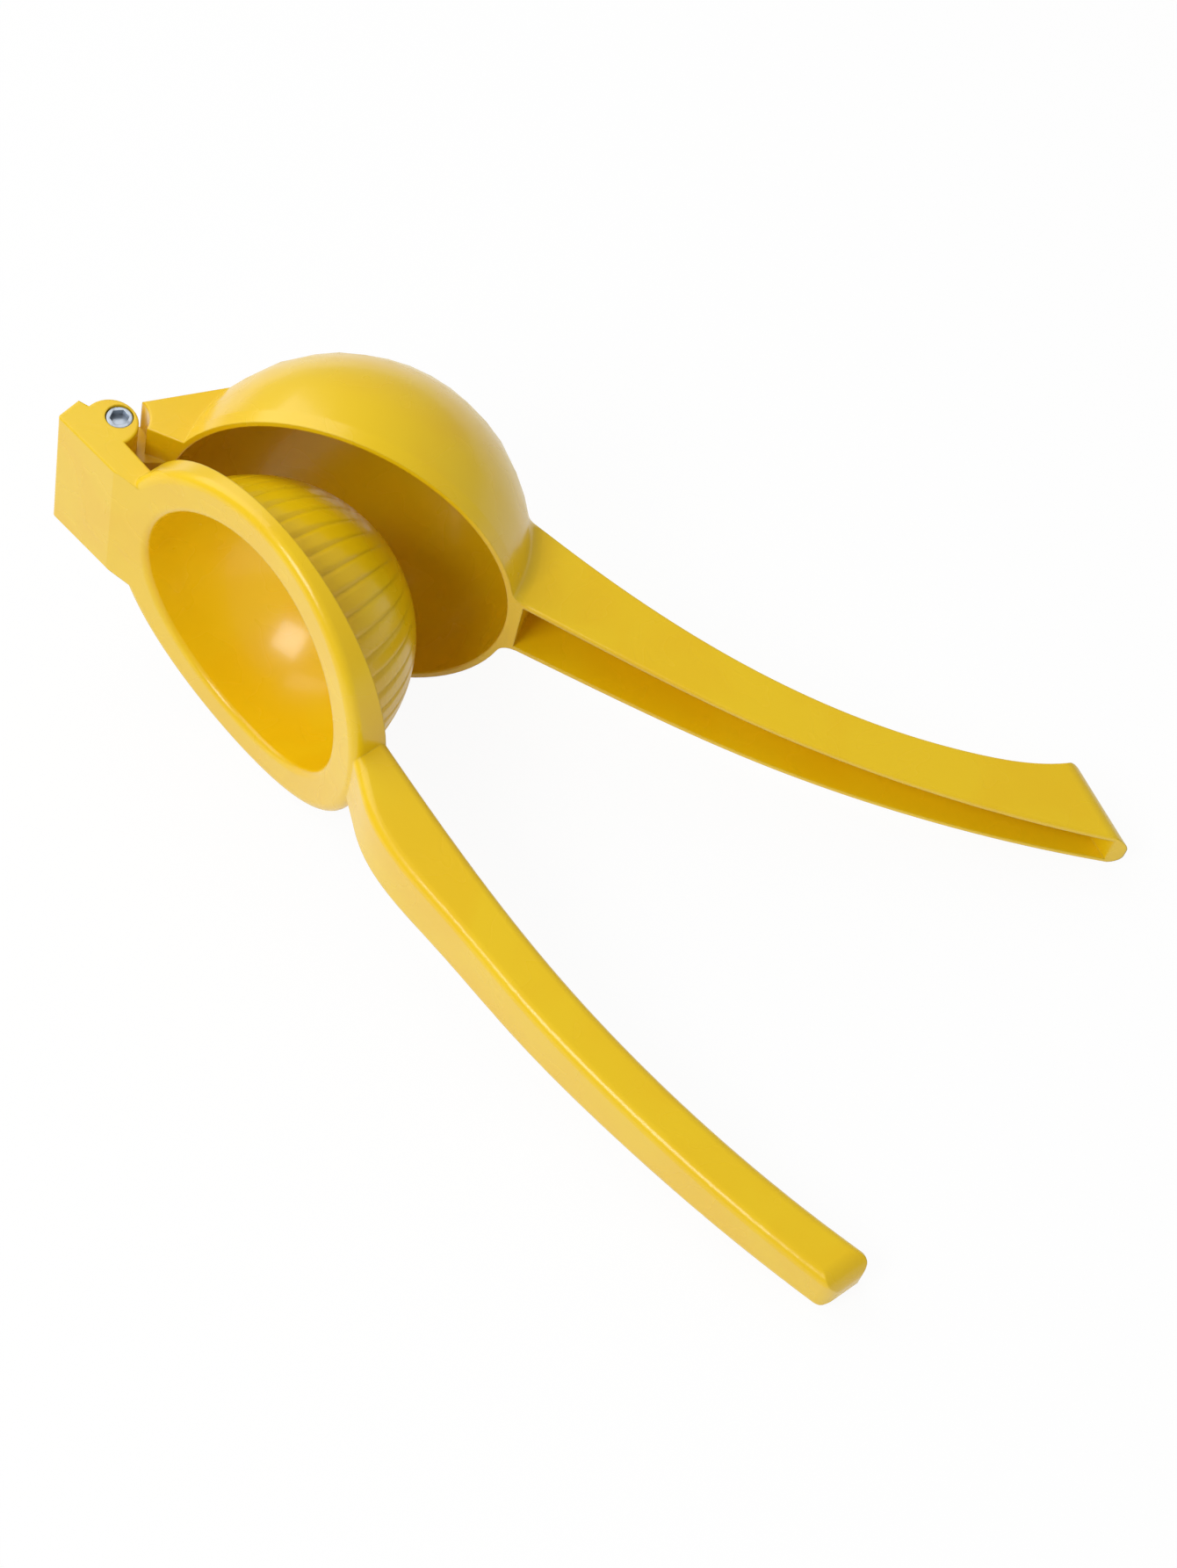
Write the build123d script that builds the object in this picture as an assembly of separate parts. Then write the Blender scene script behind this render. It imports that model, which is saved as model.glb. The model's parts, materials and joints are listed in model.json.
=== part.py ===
from build123d import *
import math
import os

# Hinged lemon squeezer: two cast arms on one pin, lying on its side, part open.
# Both arms are drawn closed: hinge pin on Z through the origin, both arms along +X,
# the bowl bulging towards +Y and the press arm below the parting line. Then the tool
# is opened and laid on the table.

# ---- driving sizes (mm and degrees) ----

# head
HEAD_SETBACK = 9.2         # hinge pin to the outside of the bowl
BOWL_R = 33.9              # inside radius of the bowl
BOWL_WALL = 1.3            # bowl wall at the rim
BOWL_BELLY = 3.0           # straight stretch between the rim and the half sphere
BOWL_FLOOR = 2.0           # bowl wall at the pole
DOME_GAP = 4.6             # room between the press dome and the bowl when closed
DOME_SINK = 1.4            # how far the dome's middle lies under the ring's inner face
DOME_WALL = 2.6            # wall between the dome and the hollow behind it
MOUTH_FLARE = 0.6          # how much the hollow widens towards its mouth
MOUTH_ROUND = 1.3          # rounding of the hollow's mouth
PARTING_Y = -0.5           # parting line at the head, just below the pin
HEAD_GAP = 0.6             # gap between ring and rim when closed

# press ring and hinge block
RING_WAIST = 3.4           # thickness of the ring beside the hollow
BLOCK_FACE_Y = -8.4        # outer face of the hinge block, where it meets the ring
BLOCK_BACK_Y = -9.2        # the same face at the block's back end
BLOCK_TOP_Y = -2.7         # inner face of the block, beside the ears
BLOCK_BACK_X = -6.4        # back end of the block
BLOCK_ROUND = 0.8          # rounding of the block's back corner
BUMP_REACH = 0.8           # how far the block stands out behind the ears
BUMP_Y = -3.8

# drain holes: one in the middle, then two rings of them
DRAIN_HOLE_R = 1.9
DRAIN_RING_1_R = 5.4
DRAIN_RING_1_COUNT = 6
DRAIN_RING_2_R = 10.6
DRAIN_RING_2_COUNT = 12

# ribs on the dome, as the grooves between them
RIB_COUNT = 42
RIB_TURN = 2.0             # where the first groove lies, from the handle side
GROOVE_DEPTH = 0.6         # beside the ring
GROOVE_WIDTH = 3.8
GROOVE_SIDE_R = 4.0        # roundness of a rib's flanks
GROOVE_FADE = 34.0         # angle from the pole at which the grooves run out

# hinge
HINGE_HALF_WIDTH = 15.6    # half the width across the ears
TONGUE_HALF_WIDTH = 7.8
EAR_GAP = 0.4              # play between the tongue and each ear
KNUCKLE_R = 5.2            # rounded top of the ears
KNUCKLE_DROP = 2.1         # how far the knuckle's middle lies below the pin
TONGUE_R = 4.9             # rounded end of the tongue
SLOT_GAP = 0.7             # play between the tongue's end and the bottom of the slot
SLOT_END_X = 8.4           # inner end of the slot between the ears
SHOULDER_R = 5.5           # hollowed end of the shoulder, about the pin
SHOULDER_BACK_Y = 5.0      # back corner of the shoulder
SHOULDER_SLOPE = 38.6      # angle of the shoulder's back
PIN_R = 2.1                # barrel
PIN_PLAY = 0.08            # radial play of the barrel in the tongue
PIN_SEAT = 0.03            # radial play of the pin's parts in the ears
PIN_HEAD_R = 2.6
PIN_HEAD_DEPTH = 2.2
PIN_HEAD_ROUND = 0.35
PIN_SINK = 0.3             # how far the heads sit below the ears' faces
SOCKET_FLATS = 3.2         # hexagon socket, across its flats
SOCKET_DEPTH = 1.4
SCREW_R = 1.25             # threaded shank
SCREW_PLAY = 0.05
SCREW_LENGTH = 16.0        # shank under the screw's head
BORE_DEPTH = 17.5          # tapped hole in the barrel
BARREL_STOP = 0.8          # gap between the barrel's end and the screw's head

# handles; lengths along them count from the outside of the bowl
BOWL_HANDLE_LENGTH = 107.4 # to the back corner of its slanted end
PRESS_HANDLE_LENGTH = 124.6
SWEEP_R = 275.0            # radius of the parting line between the handles
SWEEP_RUN = 56.9           # where that line dips lowest
SWEEP_DIP = 5.2
HANDLE_GAP = 1.0           # gap between the handles when closed
HANDLE_SPINE = 1.8         # wall at the back of both channels
BOWL_HANDLE_SIDE = 1.2     # side walls of the bowl handle
PRESS_HANDLE_SIDE = 1.9    # side walls of the press handle
WEB = 1.4                  # wall between the head and the channel
END_WALL = 2.4
HANDLE_OVERLAP = 3.5       # how far the press handle's root reaches into the ring
NECK_REACH = 6.0           # its outer face runs on this far inside the ring
NECK_RISE = 2.6            # and this much nearer the parting line
HANDLE_ROOT_WIDTH = 15.3   # width across a handle beside the head
BOWL_TIP_WIDTH = 8.6
PRESS_TIP_WIDTH = 10.2
BOWL_TIP_SLOPE = 43.0      # angle of the bowl handle's end against the arm
BOWL_TIP_DEPTH = 15.5
PRESS_TIP_LEAN = 0.6       # how far the inner corner of its end stands beyond the outer one
PRESS_TIP_DEPTH = 9.7

# depth of each handle's back at these parts of its length
BOWL_BACK = [(-0.052, 16.2), (0.19, 13.1), (0.423, 10.7), (0.655, 9.9), (0.823, 10.8), (0.935, 12.7)]
PRESS_BACK = [(0.06, 10.9), (0.246, 10.2), (0.433, 9.4), (0.627, 9.0), (0.814, 9.1)]

# rounding
RING_EDGE = 1.8            # outer edge of the ring
PRESS_HANDLE_EDGE = 1.8    # long edges of the press handle
BOWL_HANDLE_EDGE = 0.5     # long edges of the bowl handle
BLOCK_EDGE = 0.4           # sides of the hinge block and the shoulder
RIM_EDGE = 0.4             # inside of the bowl's rim
BOWL_TIP_ROUND = 3.2       # outer corner of the bowl handle's end
PRESS_TIP_ROUND = 3.0      # outer corner of the press handle's end
LIP_ROUND = 2.4            # inner corner of the press handle's end
BOWL_END_ROUND = 3.6       # how round the bowl handle's end is from side to side
PRESS_END_ROUND = 4.2      # and the press handle's
CREASE_ROUND = 3.0         # where the handle leaves the bowl

# how it lies
OPEN_ANGLE = 28.7

# ---- worked out from them ----

BOWL_OUTER_R = BOWL_R + BOWL_WALL
HEAD_REACH = HEAD_SETBACK + BOWL_OUTER_R
DOME_R = BOWL_R - DOME_GAP
RIM_Y = PARTING_Y + HEAD_GAP / 2
RING_Y = PARTING_Y - HEAD_GAP / 2
BELLY_Y = RIM_Y + BOWL_BELLY
DOME_Y = RING_Y - DOME_SINK
HOLLOW_R = DOME_R - DOME_WALL
WAIST_Y = RING_Y - RING_WAIST
ARCH_RISE = WAIST_Y - BLOCK_FACE_Y
ARCH_R = (BOWL_OUTER_R ** 2 + ARCH_RISE ** 2) / (2 * ARCH_RISE)
HEAD_END_X = HEAD_REACH + BOWL_OUTER_R
CHANNEL_X = HEAD_END_X + WEB
BOWL_TIP_X = HEAD_END_X + BOWL_HANDLE_LENGTH
BOWL_FRONT_X = BOWL_TIP_X + BOWL_TIP_DEPTH / math.tan(math.radians(BOWL_TIP_SLOPE))
PRESS_TIP_X = HEAD_END_X + PRESS_HANDLE_LENGTH
SLOT_HALF_WIDTH = TONGUE_HALF_WIDTH + EAR_GAP
PIN_HEAD_TOP = HINGE_HALF_WIDTH - PIN_SINK
PIN_HEAD_SEAT = PIN_HEAD_TOP - PIN_HEAD_DEPTH
BIG = 400.0


def slab(outline, half_width):
    """Outline drawn in XY, thickened equally to both sides."""
    return Pos(0, 0, -half_width) * extrude(make_face(outline), 2 * half_width)


def sweep_y(x):
    """Height of the parting line between the handles at x."""
    run = x - HEAD_END_X - SWEEP_RUN
    return SWEEP_R - SWEEP_DIP - math.sqrt(SWEEP_R ** 2 - run ** 2)


def edge_point(side, x, depth=0.0):
    """Point on a handle, a depth away from its inner edge; side is 1 or -1."""
    return (x, sweep_y(x) + side * (HANDLE_GAP / 2 + depth))


def back_points(side, sections, length):
    """Points on a handle's back, from parts of its length and depths."""
    return [edge_point(side, HEAD_END_X + part * length, depth) for part, depth in sections]


def beyond_inner_edge(side):
    """Everything on a handle's own side of its inner edge."""
    head_y = PARTING_Y + side * HEAD_GAP / 2
    far_x = max(BOWL_FRONT_X, PRESS_TIP_X) + 2 * END_WALL
    step = (far_x - HEAD_END_X) / 5
    edge = [(HEAD_END_X, head_y)]
    edge += [edge_point(side, HEAD_END_X + step * i) for i in range(1, 6)]
    outline = Spline(*edge)
    outline += Polyline(edge[-1], (far_x, side * BIG), (HEAD_REACH, side * BIG),
                        (HEAD_REACH, head_y), edge[0])
    return slab(outline, HANDLE_ROOT_WIDTH)


def before_back(side, back):
    """Everything on the inner side of a handle's back."""
    outline = Spline(*back)
    outline += Polyline(back[-1], (BIG, back[-1][1]), (BIG, -side * BIG),
                        (HEAD_REACH, -side * BIG), (HEAD_REACH, back[0][1]), back[0])
    return slab(outline, HANDLE_ROOT_WIDTH)


def behind_end(corner, along, inset=0.0):
    """Everything behind a handle's end face, which runs from the corner along a direction."""
    face = Plane(corner, x_dir=along, z_dir=(0, 0, 1))
    block = Box(2 * BIG, BIG, BIG, align=(Align.CENTER, Align.MAX, Align.CENTER))
    return face * Pos(0, -inset, 0) * block


def past(x):
    """Everything further out than x."""
    return Pos(x, 0, 0) * Box(BIG, BIG, BIG, align=(Align.MIN, Align.CENTER, Align.CENTER))


def tip_corners(solid, tip_x):
    """Corners of a handle's end that run across it, outer one first."""
    corners = [e for e in solid.edges() if abs(e.center().Z) < 0.1]
    corners = [e for e in corners if e.center().X > tip_x - 1]
    return sorted(corners, key=lambda e: e.center().X)


def side_edges(solid):
    """Edges of a handle's two sides, from the head to the tip."""
    sides = [f for f in solid.faces() if abs(f.normal_at().Z) > 0.99]
    sides = [f for f in sides if f.center().X > HEAD_END_X + 5]
    return [e for f in sides for e in f.edges() if e.center().X > HEAD_END_X + 1]


def round_flat_sides(block, radius):
    """Rounds the edges of a block's two flat sides."""
    sides = [f for f in block.faces() if abs(f.center().Z) > HINGE_HALF_WIDTH - 0.01]
    return fillet([e for f in sides for e in f.edges()], radius)


def on_bowl(point):
    """True for a point on the outside of the bowl."""
    centre = Vector(HEAD_REACH, BELLY_Y, 0)
    if point.Y < BELLY_Y:
        centre = Vector(HEAD_REACH, point.Y, 0)
    return abs((point - centre).length - BOWL_OUTER_R) < 0.02


def crease_edges(body):
    """Edges along which the handle leaves the bowl."""
    edges = [e for e in body.edges() if all(on_bowl(e @ v) for v in (0.05, 0.5, 0.95))]
    edges = [e for e in edges if RIM_Y + 0.1 < e.center().Y < BELLY_Y + BOWL_R / 2]
    return [e for e in edges if e.center().X > HEAD_REACH + BOWL_R / 2]


def on_ring_edge(edge):
    """True for the outer edge of the ring's arched face."""
    middle = edge @ 0.5
    reach = math.hypot(middle.X - HEAD_REACH, middle.Z)
    return abs(reach - BOWL_OUTER_R) < 0.01 and middle.Y < WAIST_Y + 0.5 and abs(middle.Z) > 8


def width_band(root_width, tip_width, tip_x):
    """Block as wide as a handle at each x, narrowing towards the tip."""
    reach = (HEAD_END_X, root_width / 2), (tip_x, tip_width / 2)
    grow = (reach[1][1] - reach[0][1]) / (reach[1][0] - reach[0][0])
    spare = 2 * END_WALL
    far_x = tip_x + spare
    far = tip_width / 2 + grow * spare
    outline = Polyline(
        (HEAD_REACH, -root_width / 2), (HEAD_END_X, -root_width / 2), (far_x, -far),
        (far_x, far), (HEAD_END_X, root_width / 2), (HEAD_REACH, root_width / 2), close=True)
    return Pos(0, BIG, 0) * extrude(Plane.XZ * make_face(outline), 2 * BIG)


# ---- shapes on the bowl's own axis, which runs along Y ----

def capped(radius, low_y, centre_y, flare=0.0):
    """Round block from low_y upwards with a half-sphere top about centre_y."""
    outline = Polyline((0, centre_y + radius), (0, low_y), (radius + flare, low_y),
                       (radius, centre_y))
    outline += CenterArc((0, centre_y), radius, 0, 90)
    return Pos(HEAD_REACH, 0, 0) * revolve(make_face(outline), Axis.Y, 360)


def round_block(radius, low_y, high_y):
    axis = Plane((HEAD_REACH, low_y, 0), z_dir=(0, 1, 0))
    return axis * Cylinder(radius, high_y - low_y, align=(Align.CENTER, Align.CENTER, Align.MIN))


def drain_holes():
    """Drills through the bowl's floor, along its axis."""
    middle = round_block(DRAIN_HOLE_R, BELLY_Y, BIG / 4)
    rings = (
        (DRAIN_RING_1_R, DRAIN_RING_1_COUNT),
        (DRAIN_RING_2_R, DRAIN_RING_2_COUNT),
    )
    drills = [middle]
    for ring_r, count in rings:
        for i in range(count):
            turn = 2 * math.pi * i / count
            drills.append(Pos(ring_r * math.cos(turn), 0, ring_r * math.sin(turn)) * middle)
    return drills


def rib_grooves():
    """Hoops that cut the grooves; each hoop makes two opposite ones."""
    lift = GROOVE_DEPTH / math.cos(math.radians(GROOVE_FADE))
    spare = 0.05
    bottom = (DOME_R - GROOVE_DEPTH, 0)
    left = (DOME_R + spare, -GROOVE_WIDTH / 2)
    right = (DOME_R + spare, GROOVE_WIDTH / 2)
    outline = RadiusArc(left, bottom, -GROOVE_SIDE_R) + RadiusArc(bottom, right, -GROOVE_SIDE_R)
    outline += Polyline(right, (DOME_R + 1, GROOVE_WIDTH / 2),
                        (DOME_R + 1, -GROOVE_WIDTH / 2), left)
    hoop = revolve(Plane.XZ * make_face(outline), Axis.Z, 360)
    hoop = Pos(0, DOME_Y + lift, 0) * hoop
    pitch = 360 / RIB_COUNT
    turns = [RIB_TURN + pitch * i for i in range(RIB_COUNT // 2)]
    return [Pos(HEAD_REACH, 0, 0) * Rot(0, -turn, 0) * hoop for turn in turns]


# ---- bowl arm ----

def is_rim(edge):
    """True for the inside edge of the bowl's rim."""
    middle = edge @ 0.5
    reach = math.hypot(middle.X - HEAD_REACH, middle.Z)
    return abs(middle.Y - RIM_Y) < 0.01 and abs(reach - BOWL_R) < 0.01


def shoulder():
    """Full-width block beside the hinge, hollowed round the ears."""
    slope = math.tan(math.radians(SHOULDER_SLOPE))
    start_y = SHOULDER_BACK_Y - slope * math.sqrt(SHOULDER_R ** 2 - SHOULDER_BACK_Y ** 2)
    far_x = HEAD_REACH - BOWL_R / 2
    block = slab(Polyline((0, RIM_Y), (0, start_y), (far_x, start_y + slope * far_x),
                          (far_x, RIM_Y), close=True), HINGE_HALF_WIDTH)
    return round_flat_sides(block - Cylinder(SHOULDER_R, BIG), BLOCK_EDGE)


def tongue():
    """Narrow end that runs between the ears and turns on the pin."""
    root_x = HEAD_REACH - BOWL_R
    lean = math.acos(TONGUE_R / root_x)
    low = (TONGUE_R * math.cos(lean), -TONGUE_R * math.sin(lean))
    neck = Polyline((0, 0), low, (root_x, 0), (root_x, TONGUE_R), (0, TONGUE_R), close=True)
    return slab(neck, TONGUE_HALF_WIDTH) + Cylinder(TONGUE_R, 2 * TONGUE_HALF_WIDTH)


def end_corner_trim(corner, along, tip_width, tip_x, radius, side):
    """Cuts a side corner of a handle's end round; side is 1 or -1."""
    along = Vector(*along).normalized()
    taper = (tip_width - HANDLE_ROOT_WIDTH) / 2 / (tip_x - HEAD_END_X)

    def on_corner(run):
        x = corner[0] + run * along.X
        reach = HANDLE_ROOT_WIDTH / 2 + taper * (x - HEAD_END_X)
        return Vector(x, corner[1] + run * along.Y, side * reach)

    reach = 2 * BOWL_TIP_DEPTH
    start = on_corner(-reach)
    length = (on_corner(reach) - start).length
    off_end = Vector(-along.Y, along.X, 0)
    off_side = Vector(-taper, 0, side).normalized()
    centre = start - (off_end + off_side) * (radius / (1 + off_end.dot(off_side)))
    plane = Plane(start, x_dir=off_end, z_dir=on_corner(0) - start)

    def in_plane(point):
        return ((point - start).dot(plane.x_dir), (point - start).dot(plane.y_dir))

    beyond = radius + 1
    wedge = make_face(Polyline(
        in_plane(centre), in_plane(centre + off_end * beyond), in_plane(start + (off_end + off_side)),
        in_plane(centre + off_side * beyond), close=True))
    wedge -= Pos(*in_plane(centre)) * Circle(radius)
    return extrude(plane * wedge, length)


def bowl_handle():
    """Curved handle with a flared and slanted end, and the channel that hollows it."""
    slope = math.radians(BOWL_TIP_SLOPE)
    along = (math.cos(slope), -math.sin(slope), 0)
    corner = edge_point(1, BOWL_TIP_X, BOWL_TIP_DEPTH)
    sections = BOWL_BACK + [(1, BOWL_TIP_DEPTH)]
    back = back_points(1, sections, BOWL_HANDLE_LENGTH)
    floor = [(x, y - HANDLE_SPINE) for x, y in back]

    solid = beyond_inner_edge(1) & before_back(1, back) & behind_end(corner, along)
    solid &= width_band(HANDLE_ROOT_WIDTH, BOWL_TIP_WIDTH, BOWL_FRONT_X)
    solid = fillet(tip_corners(solid, BOWL_TIP_X)[0], BOWL_TIP_ROUND)
    solid = fillet(side_edges(solid), BOWL_HANDLE_EDGE)
    for side in (-1, 1):
        solid -= end_corner_trim(corner, along, BOWL_TIP_WIDTH, BOWL_FRONT_X, BOWL_END_ROUND, side)

    inner_root = HANDLE_ROOT_WIDTH - 2 * BOWL_HANDLE_SIDE
    inner_tip = BOWL_TIP_WIDTH - 2 * BOWL_HANDLE_SIDE
    channel = before_back(1, floor) & behind_end(corner, along, END_WALL)
    channel &= width_band(inner_root, inner_tip, BOWL_FRONT_X) & past(CHANNEL_X)
    return solid, channel


def bowl_arm():
    solid, channel = bowl_handle()
    floor_y = BELLY_Y + BOWL_OUTER_R - BOWL_FLOOR - BOWL_R
    body = capped(BOWL_OUTER_R, RIM_Y, BELLY_Y) + solid
    body = fillet(crease_edges(body), CREASE_ROUND)
    body += shoulder()
    body += tongue()
    body -= capped(BOWL_R, -BOWL_R, floor_y)
    rim = [e for e in body.edges() if e.geom_type == GeomType.CIRCLE and is_rim(e)]
    body = fillet(rim, RIM_EDGE)
    body -= channel
    body -= Cylinder(PIN_R + PIN_PLAY, BIG)
    for drill in drain_holes():
        body -= drill
    return body


# ---- press arm ----

def press_handle():
    """Curved handle with a plain outer face, and the channel that hollows it."""
    corner = edge_point(-1, PRESS_TIP_X, PRESS_TIP_DEPTH)
    along = (-PRESS_TIP_LEAN, -PRESS_TIP_DEPTH, 0)
    sections = PRESS_BACK + [(1, PRESS_TIP_DEPTH)]
    root = (HEAD_END_X - NECK_REACH, BLOCK_FACE_Y + NECK_RISE)
    neck = (HEAD_END_X, BLOCK_FACE_Y)
    back = [root, neck] + back_points(-1, sections, PRESS_HANDLE_LENGTH)
    floor = [(x, y + HANDLE_SPINE) for x, y in back[1:]]

    solid = beyond_inner_edge(-1) & before_back(-1, back) & behind_end(corner, along)
    solid &= width_band(HANDLE_ROOT_WIDTH, PRESS_TIP_WIDTH, PRESS_TIP_X)
    solid = fillet(tip_corners(solid, PRESS_TIP_X)[0], PRESS_TIP_ROUND)
    solid = fillet(tip_corners(solid, PRESS_TIP_X)[-1], LIP_ROUND)
    solid = fillet(side_edges(solid), PRESS_HANDLE_EDGE)
    for side in (-1, 1):
        solid -= end_corner_trim(corner, along, PRESS_TIP_WIDTH, PRESS_TIP_X, PRESS_END_ROUND, side)

    inner_root = HANDLE_ROOT_WIDTH - 2 * PRESS_HANDLE_SIDE
    inner_tip = PRESS_TIP_WIDTH - 2 * PRESS_HANDLE_SIDE
    channel = before_back(-1, floor) & behind_end(corner, along, END_WALL)
    channel &= width_band(inner_root, inner_tip, PRESS_TIP_X) & past(CHANNEL_X)
    return solid, channel


def press_block():
    """Hinge block with the rounded tops of its ears, before the slot is cut."""
    inner_x = HEAD_REACH - HOLLOW_R
    outline = Polyline(
        (BLOCK_BACK_X, BLOCK_BACK_Y), (HEAD_REACH - BOWL_OUTER_R, BLOCK_FACE_Y),
        (inner_x, BLOCK_FACE_Y), (inner_x, BLOCK_TOP_Y),
        (1 - KNUCKLE_R, BLOCK_TOP_Y), (BLOCK_BACK_X - BUMP_REACH, BUMP_Y), close=True)
    block = slab(outline, HINGE_HALF_WIDTH)
    corner = block.edges().filter_by(Axis.Z).sort_by(Axis.Y)
    corner = [e for e in corner if e.center().X < 0 and e.center().Y < BUMP_Y - 1]
    block = fillet(corner, BLOCK_ROUND)
    knuckle = Cylinder(KNUCKLE_R, 2 * HINGE_HALF_WIDTH)
    block += Pos(0, -KNUCKLE_DROP, 0) * knuckle
    return round_flat_sides(block, BLOCK_EDGE)


def hinge_slot():
    """Room for the tongue between the ears."""
    floor_y = -TONGUE_R - SLOT_GAP
    size_x = SLOT_END_X + KNUCKLE_R * 2
    slot = Box(size_x, BIG, 2 * SLOT_HALF_WIDTH, align=(Align.MAX, Align.MIN, Align.CENTER))
    return Pos(SLOT_END_X, floor_y, 0) * slot


def pin_seats():
    """Holes through both ears, with a step for each head."""
    hole = Cylinder(PIN_R + PIN_SEAT, BIG)
    step = Cylinder(PIN_HEAD_R + PIN_SEAT, BIG, align=(Align.CENTER, Align.CENTER, Align.MIN))
    top = Pos(0, 0, PIN_HEAD_SEAT) * step
    bottom = Rot(180, 0, 0) * top
    return [hole, top, bottom]


def hollow():
    """The space behind the dome, open at the ring's outer face."""
    return capped(HOLLOW_R, 2 * BLOCK_FACE_Y, DOME_Y, MOUTH_FLARE)


def is_mouth(edge):
    """True for the hollow's mouth on the ring's outer face."""
    middle = edge @ 0.5
    reach = math.hypot(middle.X - HEAD_REACH, middle.Z)
    return HOLLOW_R - 1 < reach < HOLLOW_R + 2 and edge.length > 20 and middle.Y < DOME_Y - 1


def ribbed_dome():
    dome = capped(DOME_R, DOME_Y - 0.5, DOME_Y)
    for hoop in rib_grooves():
        dome -= hoop
    return dome


def press_ring():
    """Ring disc, arched on its outer face, with the hollow's rounded mouth."""
    arch = Pos(HEAD_REACH, WAIST_Y - ARCH_R, 0) * Cylinder(ARCH_R, BIG)
    disc = round_block(BOWL_OUTER_R, BLOCK_FACE_Y, RING_Y) - arch
    outer = [e for e in disc.edges() if on_ring_edge(e)]
    disc = fillet(outer, RING_EDGE)
    disc += press_block() - arch
    disc -= hollow()
    mouth = [e for e in disc.edges() if is_mouth(e)]
    return fillet(mouth, MOUTH_ROUND)


def press_arm():
    solid, channel = press_handle()
    body = press_ring() + (solid & past(HEAD_END_X - HANDLE_OVERLAP))
    body -= channel
    body -= hinge_slot()
    for seat in pin_seats():
        body -= seat
    return body + (ribbed_dome() - hollow())


# ---- hinge pin: barrel from one side, screw from the other ----

def pin_head():
    """Head with a hexagon socket, its top at PIN_HEAD_TOP."""
    top_up = (Align.CENTER, Align.CENTER, Align.MAX)
    head = Cylinder(PIN_HEAD_R, PIN_HEAD_DEPTH, align=top_up)
    rim = head.edges().sort_by(Axis.Z)[-1]
    head = fillet(rim, PIN_HEAD_ROUND)
    flats = RegularPolygon(SOCKET_FLATS / 2, 6, major_radius=False)
    head -= Pos(0, 0, -SOCKET_DEPTH) * extrude(flats, SOCKET_DEPTH * 2)
    return Pos(0, 0, PIN_HEAD_TOP) * head


def hinge_barrel():
    low_z = BARREL_STOP - PIN_HEAD_SEAT
    base = (Align.CENTER, Align.CENTER, Align.MIN)
    barrel = Pos(0, 0, low_z) * Cylinder(PIN_R, PIN_HEAD_SEAT - low_z, align=base)
    barrel += pin_head()
    return barrel - Pos(0, 0, low_z) * Cylinder(SCREW_R + SCREW_PLAY, BORE_DEPTH, align=base)


def hinge_screw():
    base = (Align.CENTER, Align.CENTER, Align.MIN)
    shank = Pos(0, 0, -PIN_HEAD_SEAT) * Cylinder(SCREW_R, SCREW_LENGTH, align=base)
    return shank + Rot(180, 0, 0) * pin_head()


# ---- open it and lay it on the table ----

def lay_down(parts):
    """Tilts the opened tool so that its head and both handle tips touch the table."""
    reach = math.cos(math.radians(OPEN_ANGLE / 2)) * (PRESS_TIP_X - HEAD_REACH)
    tip_half = (BOWL_TIP_WIDTH + PRESS_TIP_WIDTH) / 4
    tilt = math.asin(BOWL_OUTER_R / math.hypot(reach, tip_half)) - math.atan(tip_half / reach)
    turn = Rot(0, math.degrees(tilt), 0)
    placed = {name: turn * part for name, part in parts.items()}
    box = Compound(list(placed.values())).bounding_box()
    middle = box.center()
    shift = Pos(-middle.X, -middle.Y, -box.min.Z)
    axis = (math.sin(tilt), 0, math.cos(tilt))
    pin = (-middle.X, -middle.Y, -box.min.Z)
    print("hinge point", [round(v, 4) for v in pin], "axis", [round(v, 6) for v in axis])
    return {name: shift * part for name, part in placed.items()}


def main():
    os.makedirs("parts", exist_ok=True)
    bowl_side = Rot(0, 0, OPEN_ANGLE / 2)
    press_side = Rot(0, 0, -OPEN_ANGLE / 2)
    parts = {
        "bowl_arm": bowl_side * bowl_arm(),
        "press_arm": press_side * press_arm(),
        "hinge_barrel": press_side * hinge_barrel(),
        "hinge_screw": press_side * hinge_screw(),
    }
    for name, part in lay_down(parts).items():
        export_step(part, f"parts/{name}.step")
        print(name, round(part.volume, 1), "mm3", "valid" if part.is_valid else "NOT VALID")


if __name__ == "__main__":
    main()
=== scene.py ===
import json
import math

import bpy
from bpy.props import FloatProperty, FloatVectorProperty, PointerProperty
from mathutils import Matrix, Vector


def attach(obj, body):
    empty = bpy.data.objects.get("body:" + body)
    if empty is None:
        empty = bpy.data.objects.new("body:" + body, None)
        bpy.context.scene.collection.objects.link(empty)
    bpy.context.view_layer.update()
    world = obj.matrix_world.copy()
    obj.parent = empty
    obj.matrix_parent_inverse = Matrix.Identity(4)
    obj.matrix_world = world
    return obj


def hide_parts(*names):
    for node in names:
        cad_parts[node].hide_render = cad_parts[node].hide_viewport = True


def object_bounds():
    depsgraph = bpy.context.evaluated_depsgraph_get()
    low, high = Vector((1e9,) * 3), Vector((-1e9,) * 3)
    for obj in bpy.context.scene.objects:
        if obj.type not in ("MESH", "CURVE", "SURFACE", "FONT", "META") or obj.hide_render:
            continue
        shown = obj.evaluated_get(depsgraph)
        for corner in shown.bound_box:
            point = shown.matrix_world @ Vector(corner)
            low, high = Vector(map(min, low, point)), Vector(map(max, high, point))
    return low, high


# Finish of a hinged lemon squeezer: sprayed enamel on two cast arms, a turned steel
# hinge pin, and the table, lamps and camera that show them.

bl_info = {
    "name": "Lemon Squeezer Finish",
    "version": (1, 0, 0),
    "blender": (4, 5, 0),
    "location": "View3D > Sidebar > Squeezer",
    "description": "Enamels the arms, turns the hinge pin and lays the squeezer on a table",
    "category": "Object",
}

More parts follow.
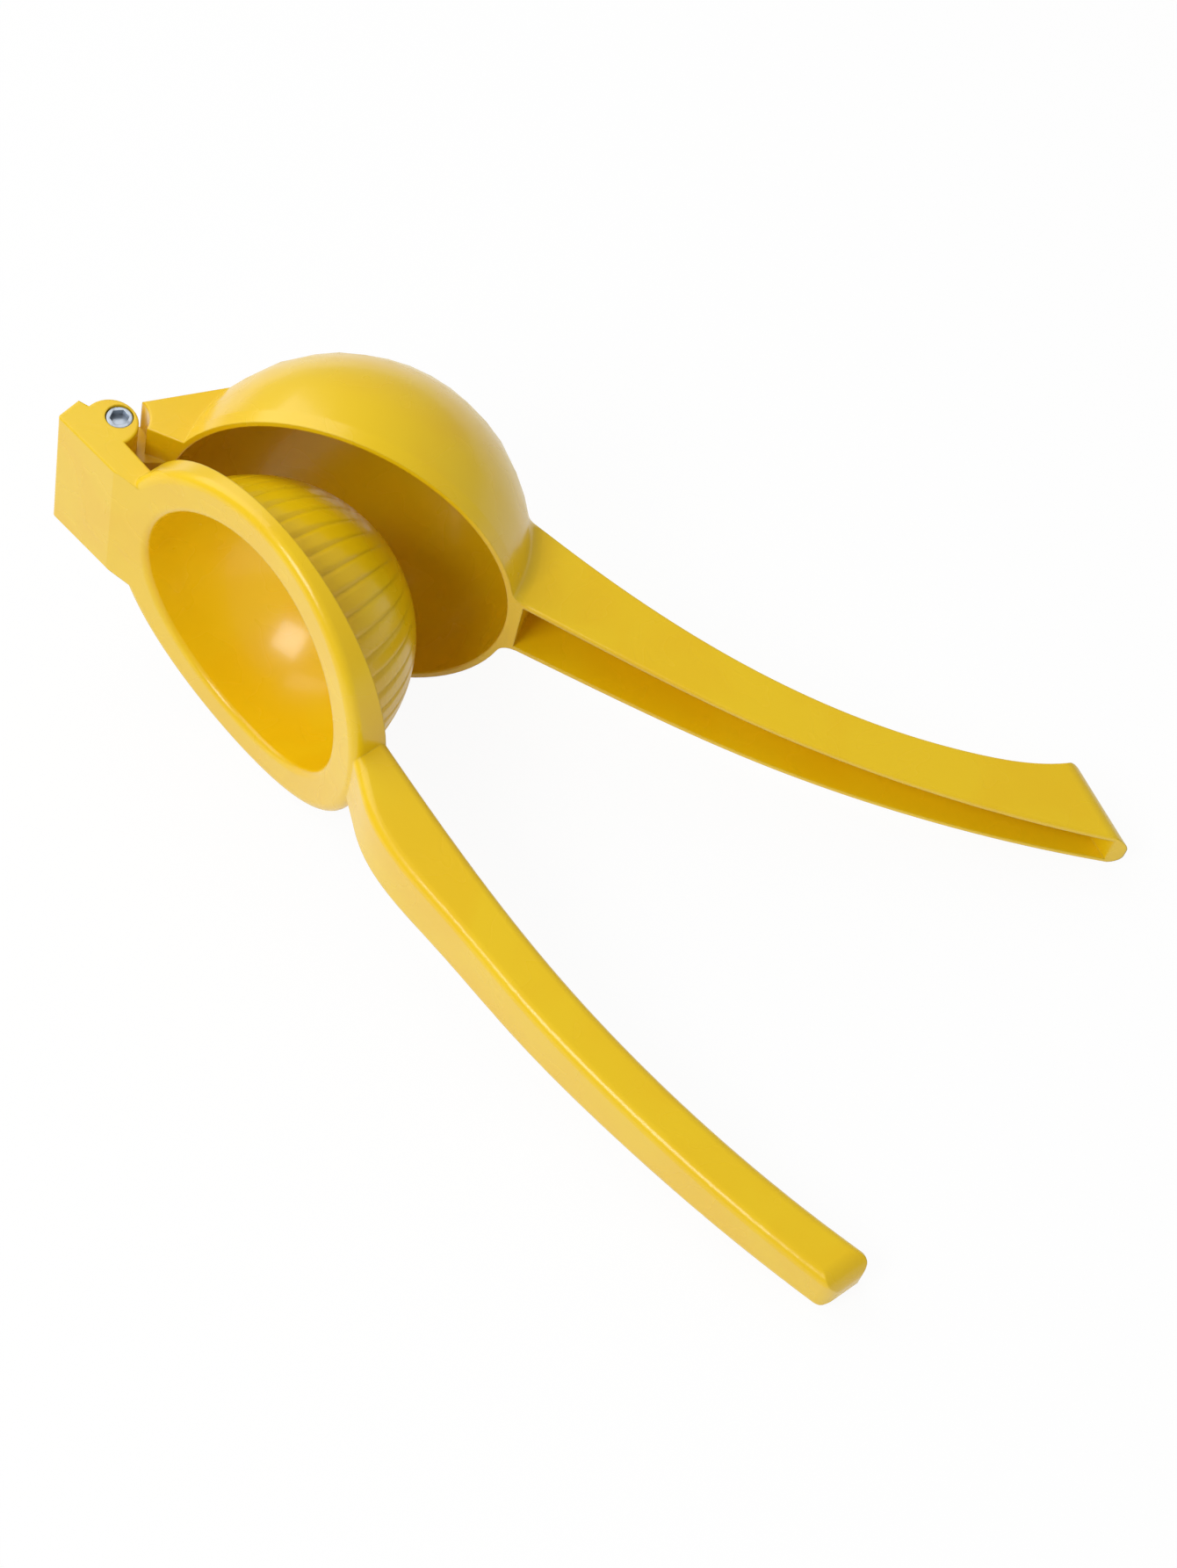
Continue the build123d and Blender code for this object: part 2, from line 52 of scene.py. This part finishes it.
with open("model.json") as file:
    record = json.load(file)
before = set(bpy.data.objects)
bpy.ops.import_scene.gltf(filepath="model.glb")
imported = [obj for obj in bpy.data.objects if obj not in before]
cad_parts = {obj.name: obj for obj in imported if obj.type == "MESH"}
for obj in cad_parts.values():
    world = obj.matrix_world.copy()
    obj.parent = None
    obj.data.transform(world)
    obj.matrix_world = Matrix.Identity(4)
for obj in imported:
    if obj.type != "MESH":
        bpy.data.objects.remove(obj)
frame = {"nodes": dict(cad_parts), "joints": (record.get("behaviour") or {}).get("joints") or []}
CAD_LOW, CAD_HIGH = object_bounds()
HINGE = frame["joints"][0]
HINGE_POINT = tuple(HINGE["pos_m"])
HINGE_AXIS = Vector(HINGE["axis"])
HINGE_LEAN = math.atan2(HINGE_AXIS.x, HINGE_AXIS.z)
PRESS_TURN = math.radians(-14.35)    # how the press arm is turned about the hinge at rest
DOME_REACH = Vector((0.0444, -0.0022, 0))    # from the hinge to the ribbed dome's centre
DOME_RADIUS = 0.029
CASTING_SMOOTH = math.radians(32)    # angle up to which a piece's faces are shaded as one
PIN_SMOOTH = math.radians(28)


# ---- settings ----

class EnamelSettings(bpy.types.PropertyGroup):
    """Sizes and colours of the enamel on both arms."""

    colour: FloatVectorProperty(
        name="Enamel Colour", description="Colour of the coat where it is evenly thick",
        subtype="COLOR", min=0, max=1, default=(0.86, 0.572, 0.004))
    thick_colour: FloatVectorProperty(
        name="Thick Coat", description="Deeper colour where the coat ran thicker",
        subtype="COLOR", min=0, max=1, default=(0.85, 0.542, 0.002))
    # Painted highlight: this paler colour lies on edges and creases, and partly stands for a thinner
    # coat there.
    thin_edge_and_highlight_colour: FloatVectorProperty(
        name="Edge Colour", description="Paler colour where the coat is thin on an edge",
        subtype="COLOR", min=0, max=1, default=(0.90, 0.63, 0.03))
    edge_round: FloatProperty(
        name="Edge Rounding", description="How round the coat makes a cast edge",
        subtype="DISTANCE", min=0, default=0.00045)
    rib_round: FloatProperty(
        name="Rib Rounding", description="How round the coat makes the ribs of the dome",
        subtype="DISTANCE", min=0, default=0.0013)
    # Strength of that painted edge highlight.
    thin_edge_and_highlight_strength: FloatProperty(
        name="Edge Fade", description="How strongly the paler edge shows",
        subtype="FACTOR", min=0, max=1, default=0.3)
    peel_size: FloatProperty(
        name="Peel Size", description="Size of the dimples of the sprayed coat",
        subtype="DISTANCE", min=0.0001, default=0.0011)
    peel_depth: FloatProperty(
        name="Peel Depth", description="Depth of those dimples",
        subtype="DISTANCE", min=0, default=0.0000035)
    peel_strength: FloatProperty(
        name="Peel Strength", description="How strongly the dimples show",
        subtype="FACTOR", min=0, max=1, default=0.6)
    flow_size: FloatProperty(
        name="Flow Size", description="Size of the patches in which the coat thickens",
        subtype="DISTANCE", min=0.001, default=0.021)
    roughness: FloatProperty(
        name="Roughness", description="Roughness of the coat",
        subtype="FACTOR", min=0, max=1, default=0.27)
    handling: FloatProperty(
        name="Handling Marks", description="How much handling dulls the gloss in patches",
        subtype="FACTOR", min=0, max=1, default=0.03)
    handling_size: FloatProperty(
        name="Handling Size", description="Size of those patches",
        subtype="DISTANCE", min=0.001, default=0.0126)
    ior: FloatProperty(
        name="IOR", description="Refractive index of the enamel", min=1, default=1.46)
    gloss: FloatProperty(
        name="Gloss", description="Weight of the clear gloss over the enamel",
        subtype="FACTOR", min=0, max=1, default=0.2)
    gloss_roughness: FloatProperty(
        name="Gloss Roughness", description="Roughness of that gloss",
        subtype="FACTOR", min=0, max=1, default=0.1)


class PinSettings(bpy.types.PropertyGroup):
    """Sizes and colours of the hinge pin."""

    colour: FloatVectorProperty(
        name="Steel Colour", description="Colour of the turned steel",
        subtype="COLOR", min=0, max=1, default=(0.52, 0.58, 0.66))
    # Painted shade: this colour darkens the socket and the corners round the rim, and also colours
    # the scattered stains.
    stain_and_shade_colour: FloatVectorProperty(
        name="Stain And Shade Colour", description="Colour of the stains in the socket and round the rim",
        subtype="COLOR", min=0, max=1, default=(0.16, 0.17, 0.19))
    # Reach of the painted shade near corners.
    painted_shade_reach: FloatProperty(
        name="Hollow Reach", description="How far from a corner the stains gather",
        subtype="DISTANCE", min=0.0001, default=0.0012)
    stain_size: FloatProperty(
        name="Stain Size", description="Size of the scattered stains",
        subtype="DISTANCE", min=0.0001, default=0.0012)
    stain_share: FloatProperty(
        name="Stain Share", description="How strongly the scattered stains show",
        subtype="FACTOR", min=0, max=1, default=0.3)
    stain_dulling: FloatProperty(
        name="Stain Dulling", description="How much rougher the steel is in a stain",
        subtype="FACTOR", min=0, max=1, default=0.18)
    edge_round: FloatProperty(
        name="Edge Rounding", description="How round the turned edges are",
        subtype="DISTANCE", min=0, default=0.00012)
    ring_pitch: FloatProperty(
        name="Turning Pitch", description="Distance between the turning marks",
        subtype="DISTANCE", min=0.00001, default=0.00012)
    ring_depth: FloatProperty(
        name="Turning Depth", description="Depth of the turning marks",
        subtype="DISTANCE", min=0, default=0.000004)
    ring_strength: FloatProperty(
        name="Turning Strength", description="How strongly the turning marks show",
        subtype="FACTOR", min=0, max=1, default=0.5)
    roughness: FloatProperty(
        name="Roughness", description="Roughness of the steel",
        subtype="FACTOR", min=0, max=1, default=0.30)


class StageSettings(bpy.types.PropertyGroup):
    """The table, the lamps and the camera."""

    table_radius: FloatProperty(
        name="Table Radius", description="Radius of the round table top",
        subtype="DISTANCE", min=0.5, default=2.5)
    table_colour: FloatVectorProperty(
        name="Table Colour", description="Colour of the table top",
        subtype="COLOR", min=0, max=1, default=(0.92, 0.92, 0.91))
    table_glow: FloatProperty(
        name="Table Glow", description="Share of plain white in how the camera sees the table",
        subtype="FACTOR", min=0, max=1, default=0.94)
    table_shine: FloatProperty(
        name="Table Shine", description="The same share in how reflections see the table",
        subtype="FACTOR", min=0, max=1, default=0.6)
    sky_level: FloatProperty(
        name="Room Level", description="How strongly the white room lights the squeezer",
        min=0, default=0.42)
    back_power: FloatProperty(
        name="Back Lamp", description="Power of the large lamp behind the bowl",
        subtype="POWER", unit="POWER", min=0, default=5.4)
    back_size: FloatProperty(
        name="Back Lamp Size", description="Side of the large lamp",
        subtype="DISTANCE", min=0.01, default=1.0)
    back_place: FloatVectorProperty(
        name="Back Lamp Place", description="Its azimuth and elevation in degrees, and its distance",
        default=(168, 49, 1.0))
    front_power: FloatProperty(
        name="Front Lamp", description="Power of the small lamp at the press arm's side",
        subtype="POWER", unit="POWER", min=0, default=3.4)
    front_size: FloatProperty(
        name="Front Lamp Size", description="Side of the small lamp",
        subtype="DISTANCE", min=0.01, default=0.38)
    front_place: FloatVectorProperty(
        name="Front Lamp Place", description="Its azimuth and elevation in degrees, and its distance",
        default=(-96, 47, 0.9))
    camera_place: FloatVectorProperty(
        name="Camera Place", description="Where the camera stands",
        subtype="TRANSLATION", unit="LENGTH", default=(0.21963, -0.31152, 0.51114))
    camera_turn: FloatVectorProperty(
        name="Camera Turn", description="How the camera is turned",
        subtype="EULER", unit="ROTATION",
        default=(math.radians(37.2969), math.radians(-0.0234), math.radians(33.5926)))
    camera_lens: FloatProperty(
        name="Camera Lens", description="Focal length of the camera's lens",
        subtype="DISTANCE_CAMERA", unit="CAMERA", min=1, default=77.96)


# ---- helpers ----

def deselect():
    """Leaves nothing selected, so that the next operator acts on its own object."""
    bpy.ops.object.select_all(action="DESELECT")


def pick(piece):
    """Makes one object the only selected one and the active one."""
    deselect()
    piece.select_set(True)
    bpy.context.view_layer.objects.active = piece


def new_tree(name, inputs, outputs):
    """Shader node group with the given sockets, each as (name, kind, default)."""
    group = bpy.data.node_groups.new(name, "ShaderNodeTree")
    for socket, kind, value in inputs:
        made = group.interface.new_socket(socket, in_out="INPUT", socket_type=kind)
        if value is not None:
            made.default_value = value
    for socket, kind in outputs:
        group.interface.new_socket(socket, in_out="OUTPUT", socket_type=kind)
    return group


def add(tree, kind, **values):
    """Adds a node and sets its properties."""
    node = tree.nodes.new(kind)
    for key, value in values.items():
        setattr(node, key, value)
    return node


def link(tree, source, output, target, socket):
    """Joins an output of one node to an input of another."""
    tree.links.new(source.outputs[output], target.inputs[socket])


def maths(tree, operation, first, second=None):
    """Maths node on two sockets or numbers; returns its output socket."""
    node = add(tree, "ShaderNodeMath", operation=operation)
    for place, value in enumerate((first, second)):
        if value is None:
            continue
        if isinstance(value, (int, float)):
            node.inputs[place].default_value = value
        else:
            tree.links.new(value, node.inputs[place])
    return node.outputs[0]


def use_group(tree, group, **values):
    """Places a node group and sets the inputs that stay plain numbers or colours."""
    node = add(tree, "ShaderNodeGroup", node_tree=group)
    for key, value in values.items():
        node.inputs[key.replace("_", " ")].default_value = value
    return node


# ---- shared effects ----

def rounded_edges_group():
    """Softens the shading across an edge and marks how near that edge is."""
    group = new_tree(
        "Rounded Edges",
        [("Radius", "NodeSocketFloat", 0.0005), ("Contrast", "NodeSocketFloat", 4.0)],
        [("Normal", "NodeSocketVector"), ("Edge", "NodeSocketFloat")])
    given = add(group, "NodeGroupInput")
    result = add(group, "NodeGroupOutput")
    bevel = add(group, "ShaderNodeBevel", samples=6)
    link(group, given, "Radius", bevel, "Radius")
    surface = add(group, "ShaderNodeNewGeometry")
    likeness = add(group, "ShaderNodeVectorMath", operation="DOT_PRODUCT")
    link(group, bevel, "Normal", likeness, 0)
    link(group, surface, "Normal", likeness, 1)
    turned = maths(group, "SUBTRACT", 1.0, likeness.outputs["Value"])
    strong = maths(group, "MULTIPLY", turned, given.outputs["Contrast"])
    edge = add(group, "ShaderNodeClamp")
    group.links.new(strong, edge.inputs["Value"])
    link(group, edge, "Result", result, "Edge")
    link(group, bevel, "Normal", result, "Normal")
    return group


def orange_peel_group():
    """Fine dimples of a sprayed coat, as a height between 0 and 1."""
    group = new_tree(
        "Orange Peel",
        [("Vector", "NodeSocketVector", None), ("Size", "NodeSocketFloat", 0.001)],
        [("Height", "NodeSocketFloat")])
    given = add(group, "NodeGroupInput")
    result = add(group, "NodeGroupOutput")
    scale = maths(group, "DIVIDE", 1.0, given.outputs["Size"])
    broad = add(group, "ShaderNodeTexNoise")
    broad.inputs["Detail"].default_value = 1.5
    broad.inputs["Roughness"].default_value = 0.45
    link(group, given, "Vector", broad, "Vector")
    group.links.new(scale, broad.inputs["Scale"])
    fine = add(group, "ShaderNodeTexNoise")
    fine.inputs["Detail"].default_value = 2.0
    link(group, given, "Vector", fine, "Vector")
    group.links.new(maths(group, "MULTIPLY", scale, 3.1), fine.inputs["Scale"])
    faint = maths(group, "MULTIPLY", fine.outputs["Fac"], 0.22)
    total = maths(group, "ADD", broad.outputs["Fac"], faint)
    group.links.new(total, result.inputs["Height"])
    return group


def patches_group():
    """Soft patches, as a mask between 0 and 1."""
    group = new_tree(
        "Soft Patches",
        [("Vector", "NodeSocketVector", None), ("Size", "NodeSocketFloat", 0.02),
         ("Low", "NodeSocketFloat", 0.40), ("High", "NodeSocketFloat", 0.66)],
        [("Mask", "NodeSocketFloat")])
    given = add(group, "NodeGroupInput")
    result = add(group, "NodeGroupOutput")
    noise = add(group, "ShaderNodeTexNoise")
    noise.inputs["Detail"].default_value = 2.0
    noise.inputs["Distortion"].default_value = 0.6
    link(group, given, "Vector", noise, "Vector")
    group.links.new(maths(group, "DIVIDE", 1.0, given.outputs["Size"]), noise.inputs["Scale"])
    spread = add(group, "ShaderNodeMapRange", interpolation_type="SMOOTHSTEP")
    link(group, noise, "Fac", spread, "Value")
    link(group, given, "Low", spread, "From Min")
    link(group, given, "High", spread, "From Max")
    link(group, spread, "Result", result, "Mask")
    return group


def turning_marks_group():
    """Fine rings round the local Z axis, as a height between 0 and 1."""
    group = new_tree(
        "Turning Marks",
        [("Vector", "NodeSocketVector", None), ("Pitch", "NodeSocketFloat", 0.0001)],
        [("Height", "NodeSocketFloat")])
    given = add(group, "NodeGroupInput")
    result = add(group, "NodeGroupOutput")
    parts = add(group, "ShaderNodeSeparateXYZ")
    link(group, given, "Vector", parts, "Vector")
    flat = add(group, "ShaderNodeCombineXYZ")
    link(group, parts, "X", flat, "X")
    link(group, parts, "Y", flat, "Y")
    reach = add(group, "ShaderNodeVectorMath", operation="LENGTH")
    link(group, flat, "Vector", reach, 0)
    turns = maths(group, "DIVIDE", reach.outputs["Value"], given.outputs["Pitch"])
    wobble = add(group, "ShaderNodeTexNoise", noise_dimensions="1D")
    wobble.inputs["Detail"].default_value = 2.0
    wobble.inputs["Scale"].default_value = 0.7
    group.links.new(turns, wobble.inputs["W"])
    wave = maths(group, "SINE", maths(group, "MULTIPLY", turns, 2 * math.pi))
    half = maths(group, "MULTIPLY", wave, 0.2)
    total = maths(group, "ADD", half, wobble.outputs["Fac"])
    group.links.new(total, result.inputs["Height"])
    return group


# ---- materials ----

def new_material(name):
    """Material with only a Principled BSDF and its output; returns the three."""
    material = bpy.data.materials.new(name)
    material.use_nodes = True
    tree = material.node_tree
    tree.nodes.clear()
    shader = add(tree, "ShaderNodeBsdfPrincipled")
    output = add(tree, "ShaderNodeOutputMaterial")
    link(tree, shader, "BSDF", output, "Surface")
    return material, tree, shader


def enamel_material(settings):
    """Glossy sprayed enamel, with a painted highlight that pales its edges and creases (partly a
    thinner coat there), and duller where hands hold it.
    """
    material, tree, shader = new_material("yellow_enamel")
    place = add(tree, "ShaderNodeTexCoord")

    edges = use_group(tree, bpy.data.node_groups["Rounded Edges"], Contrast=5.0)
    ribbed = dome_mask(tree, place, settings.rib_round)
    extra = maths(tree, "MULTIPLY", ribbed, settings.rib_round - settings.edge_round)
    tree.links.new(maths(tree, "ADD", extra, settings.edge_round), edges.inputs["Radius"])
    peel = use_group(tree, bpy.data.node_groups["Orange Peel"], Size=settings.peel_size)
    flow = use_group(tree, bpy.data.node_groups["Soft Patches"], Size=settings.flow_size)
    hands = use_group(tree, bpy.data.node_groups["Soft Patches"],
                      Size=settings.handling_size, Low=0.44, High=0.86)
    for group in (peel, flow, hands):
        link(tree, place, "Object", group, "Vector")

    coat = add(tree, "ShaderNodeMix", data_type="RGBA")
    coat.inputs["A"].default_value = (*settings.colour, 1)
    coat.inputs["B"].default_value = (*settings.thick_colour, 1)
    tree.links.new(flow.outputs["Mask"], coat.inputs["Factor"])
    # Painted highlight: edges and creases pale towards the edge colour, partly as a thinner coat.
    thin_edge_and_highlight = add(tree, "ShaderNodeMix", data_type="RGBA")
    thin_edge_and_highlight.inputs["B"].default_value = (*settings.thin_edge_and_highlight_colour, 1)
    tree.links.new(coat.outputs["Result"], thin_edge_and_highlight.inputs["A"])
    fade = maths(tree, "MULTIPLY", edges.outputs["Edge"], settings.thin_edge_and_highlight_strength)
    tree.links.new(fade, thin_edge_and_highlight.inputs["Factor"])
    tree.links.new(thin_edge_and_highlight.outputs["Result"], shader.inputs["Base Color"])

    dulled = maths(tree, "MULTIPLY", hands.outputs["Mask"], settings.handling)
    rough = maths(tree, "ADD", dulled, settings.roughness)
    tree.links.new(rough, shader.inputs["Roughness"])

    bump = add(tree, "ShaderNodeBump")
    bump.inputs["Strength"].default_value = settings.peel_strength
    bump.inputs["Distance"].default_value = settings.peel_depth
    link(tree, peel, "Height", bump, "Height")
    link(tree, edges, "Normal", bump, "Normal")
    link(tree, bump, "Normal", shader, "Normal")
    shader.inputs["IOR"].default_value = settings.ior
    shader.inputs["Coat Weight"].default_value = settings.gloss
    shader.inputs["Coat Roughness"].default_value = settings.gloss_roughness
    return material


def dome_mask(tree, place, depth):
    """1 on the ribbed dome, within the given depth of its surface, and 0 elsewhere."""
    turned = Matrix.Rotation(HINGE_LEAN, 3, "Y") @ Matrix.Rotation(PRESS_TURN, 3, "Z")
    centre = turned @ DOME_REACH + Vector(HINGE_POINT)
    reach = add(tree, "ShaderNodeVectorMath", operation="DISTANCE")
    reach.inputs[1].default_value = centre
    link(tree, place, "Object", reach, 0)
    near = add(tree, "ShaderNodeMath", operation="COMPARE")
    near.inputs[1].default_value = DOME_RADIUS
    near.inputs[2].default_value = depth
    link(tree, reach, "Value", near, 0)
    return near.outputs[0]


def steel_material(settings):
    """Turned steel with fine rings round the pin, painted shade in its corners and scattered stains.
    """
    material, tree, shader = new_material("turned_steel")
    place = add(tree, "ShaderNodeTexCoord")
    centred = add(tree, "ShaderNodeMapping", vector_type="TEXTURE")
    centred.inputs["Location"].default_value = HINGE_POINT
    centred.inputs["Rotation"].default_value = (0, HINGE_LEAN, 0)
    link(tree, place, "Object", centred, "Vector")

    edges = use_group(tree, bpy.data.node_groups["Rounded Edges"], Radius=settings.edge_round)
    rings = use_group(tree, bpy.data.node_groups["Turning Marks"], Pitch=settings.ring_pitch)
    stains = use_group(tree, bpy.data.node_groups["Soft Patches"],
                       Size=settings.stain_size, Low=0.48, High=0.74)
    for group in (rings, stains):
        link(tree, centred, "Vector", group, "Vector")

    steel = add(tree, "ShaderNodeMix", data_type="RGBA")
    steel.inputs["A"].default_value = (*settings.colour, 1)
    steel.inputs["B"].default_value = (*settings.stain_and_shade_colour, 1)
    # Painted shade: ambient occlusion darkens the steel towards the stain colour in the socket and at
    # corners.
    hollow = add(tree, "ShaderNodeAmbientOcclusion")
    hollow.inputs["Distance"].default_value = settings.painted_shade_reach
    painted_shade = maths(tree, "SUBTRACT", 1.0, hollow.outputs["AO"])
    speckled = maths(tree, "MULTIPLY", stains.outputs["Mask"], settings.stain_share)
    tree.links.new(maths(tree, "MAXIMUM", painted_shade, speckled), steel.inputs["Factor"])
    tree.links.new(steel.outputs["Result"], shader.inputs["Base Color"])
    shader.inputs["Metallic"].default_value = 1.0

    spotted = maths(tree, "MULTIPLY", stains.outputs["Mask"], settings.stain_dulling)
    tree.links.new(maths(tree, "ADD", spotted, settings.roughness), shader.inputs["Roughness"])
    bump = add(tree, "ShaderNodeBump")
    bump.inputs["Strength"].default_value = settings.ring_strength
    bump.inputs["Distance"].default_value = settings.ring_depth
    link(tree, rings, "Height", bump, "Height")
    link(tree, edges, "Normal", bump, "Normal")
    link(tree, bump, "Normal", shader, "Normal")
    return material


def table_material(settings):
    """Pale matt table top that the camera sees nearly white, and reflections less so."""
    material, tree, shader = new_material("table_top")
    shader.inputs["Base Color"].default_value = (*settings.table_colour, 1)
    shader.inputs["Roughness"].default_value = 0.9
    shader.inputs["Specular IOR Level"].default_value = 0.1
    white = add(tree, "ShaderNodeEmission")
    white.inputs["Color"].default_value = (1, 1, 1, 1)
    mix = add(tree, "ShaderNodeMixShader")
    tree.links.new(white_share(tree, settings.table_glow, settings.table_shine), mix.inputs["Fac"])
    tree.links.new(shader.outputs["BSDF"], mix.inputs[1])
    tree.links.new(white.outputs["Emission"], mix.inputs[2])
    output = next(n for n in tree.nodes if n.type == "OUTPUT_MATERIAL")
    tree.links.new(mix.outputs["Shader"], output.inputs["Surface"])
    return material


def white_share(tree, seen, reflected):
    """One share for camera rays, another for glossy ones, and 0 for the others."""
    path = add(tree, "ShaderNodeLightPath")
    camera = maths(tree, "MULTIPLY", path.outputs["Is Camera Ray"], seen)
    glossy = maths(tree, "MULTIPLY", path.outputs["Is Glossy Ray"], reflected)
    return maths(tree, "ADD", camera, glossy)


# ---- pieces ----

def keep_true_normals(mesh):
    """Stores the normals of the true surfaces, so that they outlast the joining of points."""
    values = [part for corner in mesh.corner_normals for part in corner.vector]
    kept = mesh.attributes.new("true_normal", "FLOAT_VECTOR", "CORNER")
    kept.data.foreach_set("vector", values)


def use_true_normals(mesh):
    """Shades the mesh with the stored normals."""
    kept = mesh.attributes["true_normal"]
    values = [tuple(corner.vector) for corner in kept.data]
    mesh.attributes.remove(kept)
    mesh.normals_split_custom_set(values)


def finished_copy(node_name, piece_name, body, material, smooth_angle):
    """Copy of a node with its triangles joined, shaded as the true round surfaces are."""
    node = frame["nodes"][node_name]
    piece = bpy.data.objects.new(piece_name, node.data.copy())
    bpy.context.scene.collection.objects.link(piece)
    keep_true_normals(piece.data)
    pick(piece)
    bpy.ops.object.mode_set(mode="EDIT")
    bpy.ops.mesh.select_all(action="SELECT")
    bpy.ops.mesh.remove_doubles(threshold=1e-7)
    bpy.ops.object.mode_set(mode="OBJECT")
    bpy.ops.object.shade_smooth_by_angle(angle=smooth_angle)
    use_true_normals(piece.data)
    piece.data.materials.clear()
    piece.data.materials.append(material)
    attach(piece, body)
    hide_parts(node_name)
    return piece


class SQUEEZER_OT_effects(bpy.types.Operator):
    """Build the shared effects and the finishes that use them"""

    bl_idname = "squeezer.effects"
    bl_label = "Finishes"

    def execute(self, context):
        rounded_edges_group()
        orange_peel_group()
        patches_group()
        turning_marks_group()
        enamel_material(context.scene.squeezer_enamel)
        steel_material(context.scene.squeezer_pin)
        return {"FINISHED"}


class SQUEEZER_OT_bowl_arm(bpy.types.Operator):
    """Enamel the arm with the bowl"""

    bl_idname = "squeezer.bowl_arm"
    bl_label = "Bowl Arm"

    def execute(self, context):
        finished_copy("bowl_arm", "bowl_casting", "bowl_arm",
                      bpy.data.materials["yellow_enamel"], CASTING_SMOOTH)
        return {"FINISHED"}


class SQUEEZER_OT_press_arm(bpy.types.Operator):
    """Enamel the arm with the ribbed dome"""

    bl_idname = "squeezer.press_arm"
    bl_label = "Press Arm"

    def execute(self, context):
        finished_copy("press_arm", "press_casting", "press_arm",
                      bpy.data.materials["yellow_enamel"], CASTING_SMOOTH)
        return {"FINISHED"}


class SQUEEZER_OT_hinge_pin(bpy.types.Operator):
    """Finish the hinge pin's barrel and screw"""

    bl_idname = "squeezer.hinge_pin"
    bl_label = "Hinge Pin"

    def execute(self, context):
        for node in ("hinge_barrel", "hinge_screw"):
            finished_copy(node, node + "_turned", "press_arm",
                          bpy.data.materials["turned_steel"], PIN_SMOOTH)
        return {"FINISHED"}


# ---- stage ----

def add_lamp(name, power, size, place, aim):
    """Square lamp that faces the aim from a place given as azimuth, elevation and distance."""
    azimuth, elevation, distance = place
    turn, rise = math.radians(azimuth), math.radians(elevation)
    way = Vector((math.cos(turn) * math.cos(rise), math.sin(turn) * math.cos(rise), math.sin(rise)))
    bpy.ops.object.light_add(type="AREA", location=aim + way * distance)
    lamp = bpy.context.object
    lamp.name = name
    lamp.data.energy = power
    lamp.data.shape = "SQUARE"
    lamp.data.size = size
    lamp.rotation_euler = way.to_track_quat("Z", "Y").to_euler()
    return lamp


class SQUEEZER_OT_stage(bpy.types.Operator):
    """Lay out the table, the white room, the lamps and the camera"""

    bl_idname = "squeezer.stage"
    bl_label = "Table, Lamps and Camera"

    def execute(self, context):
        settings = context.scene.squeezer_stage
        self.lay_table(settings)
        self.light_room(context.scene, settings)
        middle = (CAD_LOW + CAD_HIGH) / 2
        add_lamp("front_lamp", settings.front_power, settings.front_size,
                 settings.front_place, middle)
        add_lamp("back_lamp", settings.back_power, settings.back_size,
                 settings.back_place, middle)
        self.place_camera(context.scene, settings)
        context.scene.view_settings.view_transform = "Standard"
        return {"FINISHED"}

    def lay_table(self, settings):
        """Flat round table top, at the height of the squeezer's lowest point."""
        deselect()
        bpy.ops.mesh.primitive_circle_add(
            vertices=96, radius=settings.table_radius, fill_type="NGON", location=(0, 0, CAD_LOW.z))
        table = bpy.context.object
        table.name = "table_top"
        bpy.ops.object.transform_apply(location=True, rotation=True, scale=True)
        table.data.materials.append(table_material(settings))

    def light_room(self, scene, settings):
        """White all round, at full strength for the camera and less for what it lights."""
        world = bpy.data.worlds.new("white_room")
        scene.world = world
        world.use_nodes = True
        tree = world.node_tree
        room = next(n for n in tree.nodes if n.type == "BACKGROUND")
        room.inputs["Color"].default_value = (1, 1, 1, 1)
        path = add(tree, "ShaderNodeLightPath")
        spare = maths(tree, "MULTIPLY", path.outputs["Is Camera Ray"], 1 - settings.sky_level)
        tree.links.new(maths(tree, "ADD", spare, settings.sky_level), room.inputs["Strength"])

    def place_camera(self, scene, settings):
        """Camera that sees the squeezer from above its open side."""
        bpy.ops.object.camera_add(location=settings.camera_place, rotation=settings.camera_turn)
        camera = bpy.context.object
        camera.name = "squeezer_camera"
        camera.data.lens = settings.camera_lens
        camera.data.clip_start = 0.01
        scene.camera = camera


# ---- panel and registration ----

STEPS = (SQUEEZER_OT_effects, SQUEEZER_OT_bowl_arm, SQUEEZER_OT_press_arm,
         SQUEEZER_OT_hinge_pin, SQUEEZER_OT_stage)


class SQUEEZER_PT_panel(bpy.types.Panel):
    """Steps and settings of the squeezer's finish"""

    bl_idname = "SQUEEZER_PT_panel"
    bl_label = "Lemon Squeezer"
    bl_space_type = "VIEW_3D"
    bl_region_type = "UI"
    bl_category = "Squeezer"

    def draw(self, context):
        for step in STEPS:
            self.layout.operator(step.bl_idname, text=step.bl_label)
        for name in SETTINGS:
            box = self.layout.box()
            settings = getattr(context.scene, name)
            for key in settings.__annotations__:
                box.prop(settings, key)


SETTINGS = {
    "squeezer_enamel": EnamelSettings,
    "squeezer_pin": PinSettings,
    "squeezer_stage": StageSettings,
}
CLASSES = (*SETTINGS.values(), *STEPS, SQUEEZER_PT_panel)


def register():
    for kind in CLASSES:
        bpy.utils.register_class(kind)
    for name, kind in SETTINGS.items():
        setattr(bpy.types.Scene, name, PointerProperty(type=kind))


def unregister():
    for name in SETTINGS:
        delattr(bpy.types.Scene, name)
    for kind in reversed(CLASSES):
        bpy.utils.unregister_class(kind)


def main():
    register()
    bpy.ops.squeezer.effects()
    bpy.ops.squeezer.bowl_arm()
    bpy.ops.squeezer.press_arm()
    bpy.ops.squeezer.hinge_pin()
    bpy.ops.squeezer.stage()


if __name__ == "__main__":
    main()
